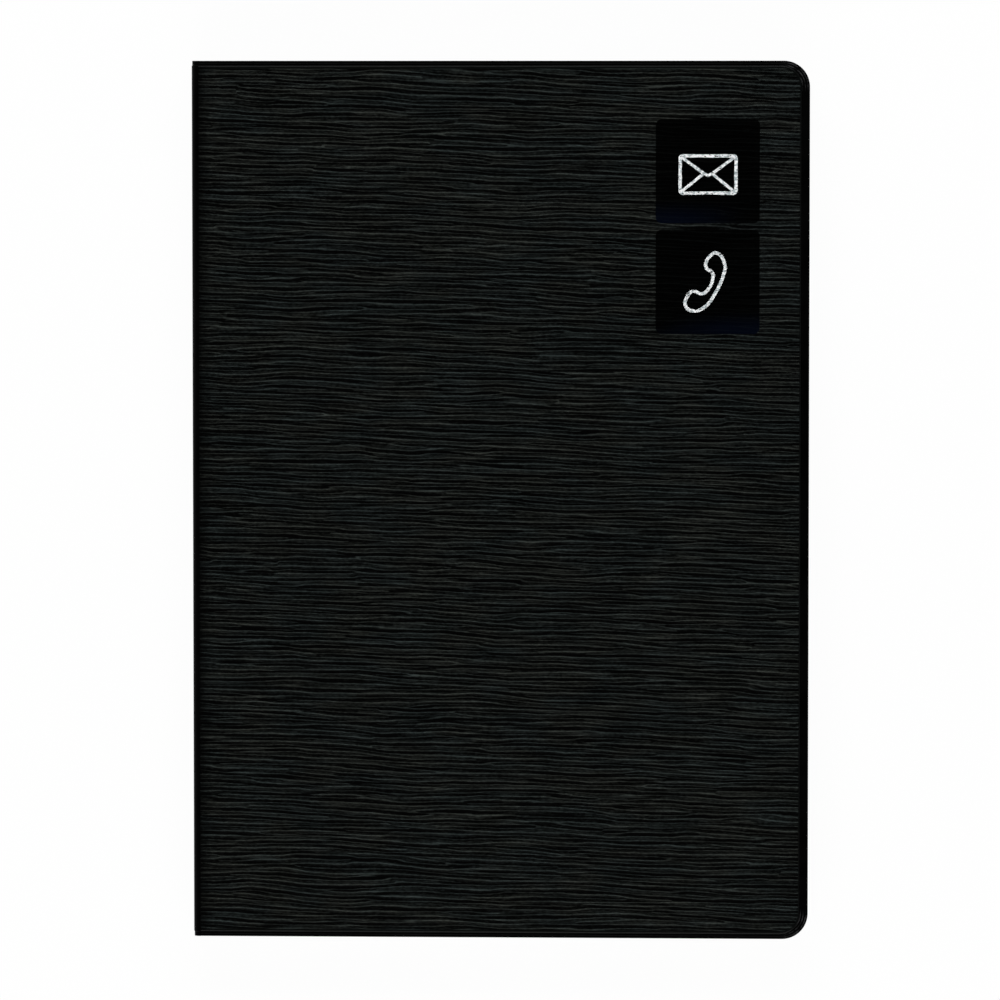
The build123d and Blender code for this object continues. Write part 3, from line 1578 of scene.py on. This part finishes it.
@dataclass
class Fold:
    """The skin's smooth quarter-round fold between the spine and a panel."""

    side: Side
    sizes: BookSizes
    steps: int = 14
    slope: float = 0.15 * MM
    near: float = 0.01 * MM
    smooth_degrees: float = 40.0

    def build(self, smooth: bpy.types.Material) -> Piece:
        """Make the fold in its place.

        Args:
            smooth: The fold's material.

        Returns:
            The fold.
        """
        sizes = self.sizes
        fold = self.ring()
        panel_end = Vector((sizes.panel_left, 0, sizes.thickness))
        spine_end = Vector((sizes.left, 0, sizes.spine_high))
        if self.side is Side.BACK:
            Bench.mirror_to_back(fold, sizes.thickness)
            panel_end.z, spine_end.z = 0, sizes.spine_low
        Bench.dress(fold, smooth)
        if self.side is Side.FRONT:
            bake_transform(fold)
        else:
            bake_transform(fold)
        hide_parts(self.side.value + "_fold_skin")
        return fold

    def ring(self) -> Piece:
        """Spin the fold's section from the panel's end round to the spine's end.

        Returns:
            The closed fold, in its front place.
        """
        sizes = self.sizes
        axis_x = sizes.left + sizes.fold_radius
        axis_z = sizes.thickness - sizes.fold_radius
        fold = self.section(axis_x)
        Bench.pick_all(fold)
        bpy.ops.mesh.spin(
            steps=self.steps, angle=math.pi / 2, center=(axis_x, 0, axis_z), axis=(0, 1, 0)
        )
        Bench.pull(Vector((0, 0, -sizes.hinge_relief)))
        close = self.near / 10
        Bench.pick(
            fold, Part.FACES, lambda face: all(abs(v.co.x - axis_x) < close for v in face.verts)
        )
        Bench.pull(Vector((sizes.hinge_relief, 0, 0)))
        Bench.true_up(fold)
        Bench.smooth(fold, self.smooth_degrees)
        return fold

    def section(self, x: float) -> Piece:
        """Make the fold's flat section, thicker and lower where it is welded.

        Args:
            x: Where the section stands.

        Returns:
            The section, from tail to head.
        """
        sizes = self.sizes
        inner = sizes.thickness - sizes.skin_thickness
        Bench.clear()
        bpy.ops.mesh.primitive_plane_add(size=1.0, rotation=(0, math.pi / 2, 0))
        section = bpy.context.object
        section.scale = (sizes.skin_thickness, 2 * sizes.half_height, 1.0)
        section.location = (x, 0, (inner + sizes.thickness) / 2)
        section = Bench.settle(self.side.value + "_fold")
        for place in (sizes.raised_half, sizes.raised_half - self.slope):
            for y in (-place, place):
                Bench.cut(section, (0, y, 0), (0, 1, 0))
        edge = sizes.raised_half - self.slope / 2
        inside, outside = inner + self.near, inner + self.slope
        Bench.pick(section, Part.VERTS, lambda v: abs(v.co.y) > edge and v.co.z < inside)
        lining = sizes.spine_thickness - sizes.skin_thickness
        bpy.ops.transform.translate(value=(0, 0, -lining))
        Bench.pick(section, Part.VERTS, lambda v: abs(v.co.y) > edge and v.co.z > outside)
        bpy.ops.transform.translate(value=(0, 0, -sizes.end_drop))
        return section


@dataclass
class Spine:
    """The spine's grained skin and the weld's lower rim at its head and tail."""

    sizes: BookSizes
    grain: StreakGrain
    column_step: float = 0.9 * MM
    shoulder: float = 0.08 * MM
    skirt: float = 0.2 * MM
    rounding: float = 0.12 * MM
    smooth_degrees: float = 40.0

    def build(self, grained: bpy.types.Material, smooth: bpy.types.Material) -> list[Piece]:
        """Make the spine's pieces in their place.

        Args:
            grained: The grained skin's material.
            smooth: The weld's material.

        Returns:
            The skin and the weld.
        """
        pieces = [self.skin(), self.weld()]
        for piece, material in zip(pieces, (grained, smooth)):
            Bench.dress(piece, material)
            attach(piece, "spine")
            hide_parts("spine_skin")
        return pieces

    def skin(self) -> Piece:
        """Make the grained skin, flat and facing up, and turn it upright.

        Returns:
            The skin.
        """
        sizes = self.sizes
        skin = GrainSheet(
            name="spine_grain_sheet",
            left=sizes.spine_low,
            right=sizes.spine_high,
            half_height=sizes.raised_half,
            top=0.0,
            grain=self.grain,
            shift=sizes.left,
            column_step=self.column_step,
            shoulder=self.shoulder,
            skirt=self.skirt,
        ).build()
        upright = Matrix.Translation((sizes.left, 0, 0)) @ Matrix.Rotation(-math.pi / 2, 4, "Y")
        skin.data.transform(upright)
        skin.data.update()
        return skin

    def weld(self) -> Piece:
        """Make the two short welded ends of the spine as one piece.

        Returns:
            The weld.
        """
        sizes = self.sizes
        ends = []
        for name, low_y, high_y in (
            ("spine_weld_tail", -sizes.half_height, -sizes.raised_half),
            ("spine_weld", sizes.raised_half, sizes.half_height),
        ):
            low = Vector((sizes.left + sizes.end_drop, low_y, sizes.spine_low))
            high = Vector((sizes.left + sizes.spine_thickness, high_y, sizes.spine_high))
            end = Bench.block(name, low, high)
            Bench.bevel(end, self.rounding)
            ends.append(end)
        tail, weld = ends
        Bench.take(weld)
        tail.select_set(True)
        bpy.ops.object.join()
        Bench.smooth(weld, self.smooth_degrees)
        return weld


@dataclass(frozen=True)
class SignLine:
    """One line of a sign: its points in millimetres and how it is drawn."""

    points: Sequence[Dot]
    closed: bool = False
    curved: bool = False
    weight: float = 1.0

    def draw(self, curve: bpy.types.Curve) -> None:
        """Add the line to a curve.

        Args:
            curve: The sign's curve.
        """
        spline = curve.splines.new("BEZIER" if self.curved else "POLY")
        dots = spline.bezier_points if self.curved else spline.points
        dots.add(len(self.points) - 1)
        for dot, (x, y) in zip(dots, self.points):
            place = (x * MM, y * MM, 0.0)
            dot.co = place if self.curved else (*place, 1.0)
            dot.radius = self.weight
            if self.curved:
                dot.handle_left_type = dot.handle_right_type = "AUTO"
        spline.use_cyclic_u = self.closed


@dataclass
class FoilSigns:
    """The silver foil envelope and handset on the pressed squares.

    Points are millimetres from the middle of their square.
    """

    sizes: BookSizes
    squares: PressedSquares
    line: float = 0.76 * MM
    wobble: float = 0.07 * MM
    cuts: int = 4
    bar_steps: int = 3
    bend_steps: int = 10
    corner_steps: int = 4
    smooth_degrees: float = 60.0
    rise: float = 0.03 * MM
    thin: float = 0.88
    envelope_half: Dot = (6.87, 4.56)
    envelope_middle: Dot = (0.06, -0.83)
    envelope_corner: float = 0.55
    flap: tuple[Dot, ...] = ((-6.65, 3.55), (-1.1, -0.5), (0.05, -1.1), (1.2, -0.5), (6.75, 3.55))
    lower_fold: tuple[Dot, ...] = ((6.7, -5.2), (1.3, -0.8))
    handset: tuple[Dot, ...] = (
        (2.1, 7.15),
        (4.2, 4.35),
        (3.75, 1.3),
        (1.9, -2.75),
        (-0.65, -6.1),
        (-3.4, -7.15),
        (-5.35, -6.05),
        (-5.05, -3.65),
        (-3.6, -2.3),
        (-1.35, -2.9),
        (0.35, -1.5),
        (1.3, 1.0),
        (1.2, 2.2),
        (-0.3, 3.45),
        (-0.45, 4.55),
        (0.9, 6.65),
    )

    def build(self, foil: bpy.types.Material) -> list[Piece]:
        """Make both signs and press them onto their squares.

        Args:
            foil: The foil's material.

        Returns:
            The envelope and the handset.
        """
        upper, lower = self.squares.centres(self.sizes)
        signs = [
            self.press("foil_envelope", upper, self.envelope_lines()),
            self.press("foil_handset", lower, [SignLine(self.handset, closed=True, curved=True)]),
        ]
        for sign in signs:
            Bench.dress(sign, foil)
            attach(sign, "front_cover")
        return signs

    def envelope_lines(self) -> list[SignLine]:
        """Lay out the envelope: a rounded frame, its flap and the folds from its lower corners.

        Returns:
            The lines.
        """
        middle_x, middle_y = self.envelope_middle
        inner_x, inner_y = (half - self.envelope_corner for half in self.envelope_half)
        outline = []
        for quarter, (side, end) in enumerate(((1, 1), (-1, 1), (-1, -1), (1, -1))):
            for step in range(self.corner_steps + 1):
                angle = (quarter + step / self.corner_steps) * math.pi / 2
                x = middle_x + side * inner_x + self.envelope_corner * math.cos(angle)
                y = middle_y + end * inner_y + self.envelope_corner * math.sin(angle)
                outline.append((x, y))
        folds = [
            SignLine([(side * x, y) for x, y in self.lower_fold], weight=self.thin)
            for side in (-1, 1)
        ]
        return [SignLine(outline, closed=True), SignLine(self.flap, weight=self.thin), *folds]

    def press(self, name: str, centre: Vector, lines: list[SignLine]) -> Piece:
        """Draw lines as round bars, flatten them to foil and put them on their square.

        Args:
            name: The sign's name.
            centre: The middle of its square's floor.
            lines: The sign's lines.

        Returns:
            The sign, as one mesh.
        """
        curve = bpy.data.curves.new(name, "CURVE")
        curve.dimensions = "3D"
        curve.bevel_depth = self.line / 2
        curve.bevel_resolution = self.bar_steps
        curve.resolution_u = self.bend_steps
        curve.use_fill_caps = True
        for line in lines:
            line.draw(curve)
        Bench.clear()
        sign = bpy.data.objects.new(name, curve)
        bpy.context.collection.objects.link(sign)
        Bench.take(sign)
        bpy.ops.object.convert(target="MESH")
        sign = bpy.context.object
        Bench.pick_all(sign)
        bpy.ops.mesh.subdivide(number_cuts=self.cuts)
        bpy.ops.transform.vertex_random(offset=self.wobble, uniform=1.0, seed=1)
        Bench.take(sign)
        sign.scale = (1, 1, 2 * self.rise / self.line)
        sign.location = centre
        Bench.settle(name)
        Bench.smooth(sign, self.smooth_degrees)
        return sign


@dataclass
class LeafBlock:
    """What the leaf block adds to its index sections: their letters and the gauze at the back."""

    sizes: BookSizes
    letter_size: float = 5.4 * MM
    letter_share: float = 0.62
    letter_steps: int = 4
    film: float = 0.006 * MM
    lift: float = 0.002 * MM
    gauze_steps: int = 6
    gauze_bend: float = 0.12 * MM
    glue_line: float = 0.05 * MM

    def sections(self) -> list[str]:
        """List the index sections' bodies from head to tail."""
        return [name for name in frame["bodies"] if name.startswith("section_")]

    def letters(self, ink: bpy.types.Material) -> list[Piece]:
        """Print each section's letters on both faces of its tab.

        Args:
            ink: The ink's material.

        Returns:
            The printed letters.
        """
        prints = []
        names = self.sections()
        tab_height = 2 * self.sizes.leaf_half_height / len(names)
        x = self.sizes.leaf_right - self.sizes.tab_depth / 2
        for place, body in enumerate(names):
            label = body.removeprefix("section_")
            low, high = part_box("index_section_" + label)
            y = self.sizes.leaf_half_height - (place + 0.5) * tab_height
            for page in Page:
                z = high.z + self.lift if page is Page.RECTO else low.z - self.lift
                letter = self.letter(label, page, Vector((x, y, z)))
                Bench.dress(letter, ink)
                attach(letter, body)
                prints.append(letter)
        return prints

    def letter(self, label: str, page: Page, centre: Vector) -> Piece:
        """Print one tab's letters as a thin film of ink.

        Args:
            label: The section's name.
            page: The face that the print lies on.
            centre: The middle of the print, on the paper.

        Returns:
            The print, as a mesh.
        """
        Bench.clear()
        bpy.ops.object.text_add()
        text = bpy.context.object
        text.data.body = label.upper()
        text.data.size = self.letter_size / max(1.0, self.letter_share * len(label))
        text.data.align_x = "CENTER"
        text.data.align_y = "CENTER"
        text.data.extrude = self.film / 2
        text.data.resolution_u = self.letter_steps
        bpy.ops.object.convert(target="MESH")
        film_middle = self.film / 2 if page is Page.RECTO else -self.film / 2
        text.location = centre + Vector((0, 0, film_middle))
        if page is Page.VERSO:
            text.rotation_euler = (0, math.pi, 0)
        piece = Bench.settle(f"print_{label}_{page.value}")
        Bench.true_up(piece)
        return piece

    def gauze(self, cloth: bpy.types.Material) -> Piece:
        """Make the glued gauze, with cuts across its middle where the block opens.

        Args:
            cloth: The gauze's material.

        Returns:
            The gauze strip.
        """
        low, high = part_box("block_gauze")
        strip = Bench.block("back_gauze", low, high - Vector((self.glue_line, 0, 0)))
        middle = self.sizes.thickness / 2
        for step in range(-self.gauze_steps, self.gauze_steps + 1):
            z = middle + self.gauze_bend * step / self.gauze_steps
            Bench.cut(strip, (0, 0, z), (0, 0, 1))
        Bench.clear()
        Bench.dress(strip, cloth)
        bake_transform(strip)
        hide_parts("block_gauze")
        return strip


@dataclass(frozen=True)
class Lamp:
    """A soft rectangular lamp that faces the book. Its power is in watts."""

    name: str
    place: tuple[float, float, float]
    size: Dot
    power: float
    colour: tuple[float, float, float] = (1.0, 1.0, 1.0)

    def hang(self) -> None:
        """Hang the lamp in its place."""
        light = bpy.data.lights.new(self.name, "AREA")
        light.shape = "RECTANGLE"
        light.size, light.size_y = self.size
        light.energy = self.power
        light.color = self.colour
        holder = bpy.data.objects.new(self.name, light)
        bpy.context.collection.objects.link(holder)
        holder.location = self.place
        holder.rotation_euler = (-Vector(self.place)).to_track_quat("-Z", "Y").to_euler()


@dataclass
class Studio:
    """The plain pale floor, the soft lamps and the camera above the book."""

    sizes: BookSizes
    frame_width: float = 247.0 * MM
    lower: float = 0.25 * MM
    distance: float = 1.6
    farthest: float = 100.0
    pitch: float = math.radians(-3.5)
    yaw: float = math.radians(2.45)
    floor_half: float = 6.0
    floor_colour: Colour = (0.95, 0.95, 0.95, 1.0)
    floor_glow: float = 0.96
    backdrop: Colour = (1.0, 1.0, 1.0, 1.0)
    unseen_backdrop: Colour = (0.4, 0.4, 0.4, 1.0)
    ceiling: Colour = (0.015, 0.015, 0.017, 1.0)
    ceiling_rise: Dot = (0.15, 0.75)
    lamps: tuple[Lamp, ...] = (
        Lamp("head_softbox", (0.0, 0.72, 0.45), (0.9, 0.30), 6.7, (0.96, 0.985, 1.0)),
        Lamp("tail_softbox", (0.0, -0.72, 0.45), (0.9, 0.30), 6.2, (1.0, 0.995, 0.98)),
        Lamp("spine_softbox", (-0.72, 0.0, 0.45), (0.30, 0.9), 0.2),
    )

    def build(self) -> None:
        """Make the floor, the world, the lamps and the camera."""
        self.floor()
        self.world()
        for lamp in self.lamps:
            lamp.hang()
        self.camera()
        bpy.context.scene.view_settings.view_transform = "Standard"

    def floor(self) -> None:
        """Make the pale floor, near white to the camera but still shaded."""
        reach = self.floor_half
        floor = Bench.plane("floor", Vector((-reach, -reach, 0)), Vector((reach, reach, 0)))
        material = bpy.data.materials.new("studio_floor")
        wiring = Wiring.fresh(material)
        output = wiring.add("ShaderNodeOutputMaterial")
        matt = wiring.add("ShaderNodeBsdfDiffuse")
        matt.inputs["Color"].default_value = self.floor_colour
        glow = wiring.add("ShaderNodeEmission")
        mix = wiring.add("ShaderNodeMixShader")
        seen = wiring.times(self.seen(wiring), self.floor_glow)
        for socket, value in zip(mix.inputs, (seen, matt.outputs[0], glow.outputs[0])):
            wiring.feed(socket, value)
        wiring.feed(output.inputs["Surface"], mix.outputs[0])
        Bench.dress(floor, material)

    @staticmethod
    def seen(wiring: Wiring) -> Socket:
        """Say whether a ray comes from the camera or from a reflection.

        Args:
            wiring: The material's tree.

        Returns:
            An output that is 1 for such rays.
        """
        path = wiring.add("ShaderNodeLightPath").outputs
        straight = wiring.math("MAXIMUM", path["Is Camera Ray"], path["Is Transmission Ray"])
        return wiring.math("MAXIMUM", straight, path["Is Glossy Ray"])

    def world(self) -> None:
        """Make a white backdrop that fades to a dim ceiling in reflections."""
        world = bpy.data.worlds.new("studio")
        bpy.context.scene.world = world
        wiring = Wiring.fresh(world)
        output = wiring.add("ShaderNodeOutputWorld")
        backdrop = wiring.add("ShaderNodeBackground")
        _, _, z = wiring.split(wiring.add("ShaderNodeTexCoord").outputs["Generated"])
        horizon = wiring.tint(self.seen(wiring), self.unseen_backdrop, self.backdrop)
        camera_ray = wiring.add("ShaderNodeLightPath").outputs["Is Camera Ray"]
        overhead = wiring.between(camera_ray, wiring.ramp(z, *self.ceiling_rise), 0.0)
        colour = wiring.tint(overhead, horizon, self.ceiling)
        wiring.feed(backdrop.inputs["Color"], colour)
        wiring.feed(output.inputs["Surface"], backdrop.outputs[0])

    def camera(self) -> None:
        """Hang the camera above the cover, a little towards the head and fore-edge."""
        lens = bpy.data.cameras.new("camera")
        camera = bpy.data.objects.new("camera", lens)
        bpy.context.collection.objects.link(camera)
        lens.lens = lens.sensor_width * self.distance / self.frame_width
        lens.shift_y = self.lower / self.frame_width
        lens.clip_end = self.farthest
        tilt = Matrix.Rotation(self.yaw, 4, "Y") @ Matrix.Rotation(self.pitch, 4, "X")
        cover = Matrix.Translation((0, 0, self.sizes.thickness))
        camera.matrix_world = cover @ tilt @ Matrix.Translation((0, 0, self.distance))
        bpy.context.scene.camera = camera


class AddressBook:
    """The whole book: its finishes and its sub-assemblies in order."""

    BACK_SHIFT = 61.0 * MM

    def __init__(self) -> None:
        """Read the sizes and make the finishes."""
        self.sizes = BookSizes.from_frame()
        self.grain = StreakGrain()
        self.squares = PressedSquares()
        self.front_vinyl = GrainedVinyl(
            "grained_vinyl_front", grain=self.grain, squares=self.squares, sizes=self.sizes
        ).material()
        self.back_vinyl = GrainedVinyl(
            "grained_vinyl_back", grain=self.grain, shift=self.BACK_SHIFT, sizes=self.sizes
        ).material()
        self.spine_vinyl = GrainedVinyl("grained_vinyl_spine", grain=self.grain).material()
        self.weld = SmoothVinyl(
            "welded_vinyl", linear(2, 2, 2), 0.3, 0.025, linear(5, 5, 5), sizes=self.sizes
        ).material()
        self.lining = SmoothVinyl(
            "lining_vinyl", linear(15, 15, 16), 0.48, 0.2, pore_size=0.45, pore_strength=0.5
        ).material()
        # The foil's near-white colour is the silver's painted reflection
        self.foil = SilverFoil("silver_foil", linear(254, 255, 255), 0.4).material()
        self.paper = RuledPaper(
            "ruled_paper", linear(244, 241, 230), 0.85, sizes=self.sizes
        ).material()
        self.card = FibreSheet("end_card", linear(238, 235, 224), 0.7).material()
        self.board = FibreSheet(
            "grey_board", linear(150, 142, 128), 0.9, fleck=linear(104, 98, 90)
        ).material()
        self.cloth = FibreSheet(
            "glued_gauze", linear(236, 232, 220), 0.85, fleck=linear(198, 190, 170), weave=0.7 * MM
        ).material()
        self.ink = PrintInk("index_ink", linear(24, 24, 28), 0.6).material()

    def cover(self) -> list[Piece]:
        """Make the cover's skin, which is two panels, two folds and the spine, and its signs.

        Returns:
            The pieces.
        """
        front = CoverPanel(Side.FRONT, self.sizes, self.grain, squares=self.squares)
        back = CoverPanel(Side.BACK, self.sizes, self.grain, shift=self.BACK_SHIFT)
        pieces = front.build(self.front_vinyl, self.weld)
        pieces += back.build(self.back_vinyl, self.weld)
        pieces += [Fold(side, self.sizes).build(self.weld) for side in Side]
        pieces += Spine(self.sizes, self.grain).build(self.spine_vinyl, self.weld)
        pieces += FoilSigns(self.sizes, self.squares).build(self.foil)
        return pieces

    def block(self) -> list[Piece]:
        """Make the leaf block's gauze and its prints."""
        leaves = LeafBlock(self.sizes)
        return [leaves.gauze(self.cloth), *leaves.letters(self.ink)]

    def dress_nodes(self) -> None:
        """Give every node that stays in view its finish."""
        finishes = {
            "lining": self.lining,
            "flap": self.lining,
            "card": self.card,
            "board": self.board,
        }
        for name, node in frame["nodes"].items():
            if name.startswith("index_section"):
                Bench.dress(node, self.paper)
            for ending, material in finishes.items():
                if name.endswith(ending):
                    Bench.dress(node, material)


def main() -> None:
    """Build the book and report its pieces."""
    logging.basicConfig(level=logging.INFO, format="%(name)s: %(message)s")
    book = AddressBook()
    for piece in book.cover() + book.block():
        LOG.info("%s, %d faces", piece.name, len(piece.data.polygons))
    book.dress_nodes()
    Studio(book.sizes).build()
    Bench.clear()


if __name__ == "__main__":
    main()
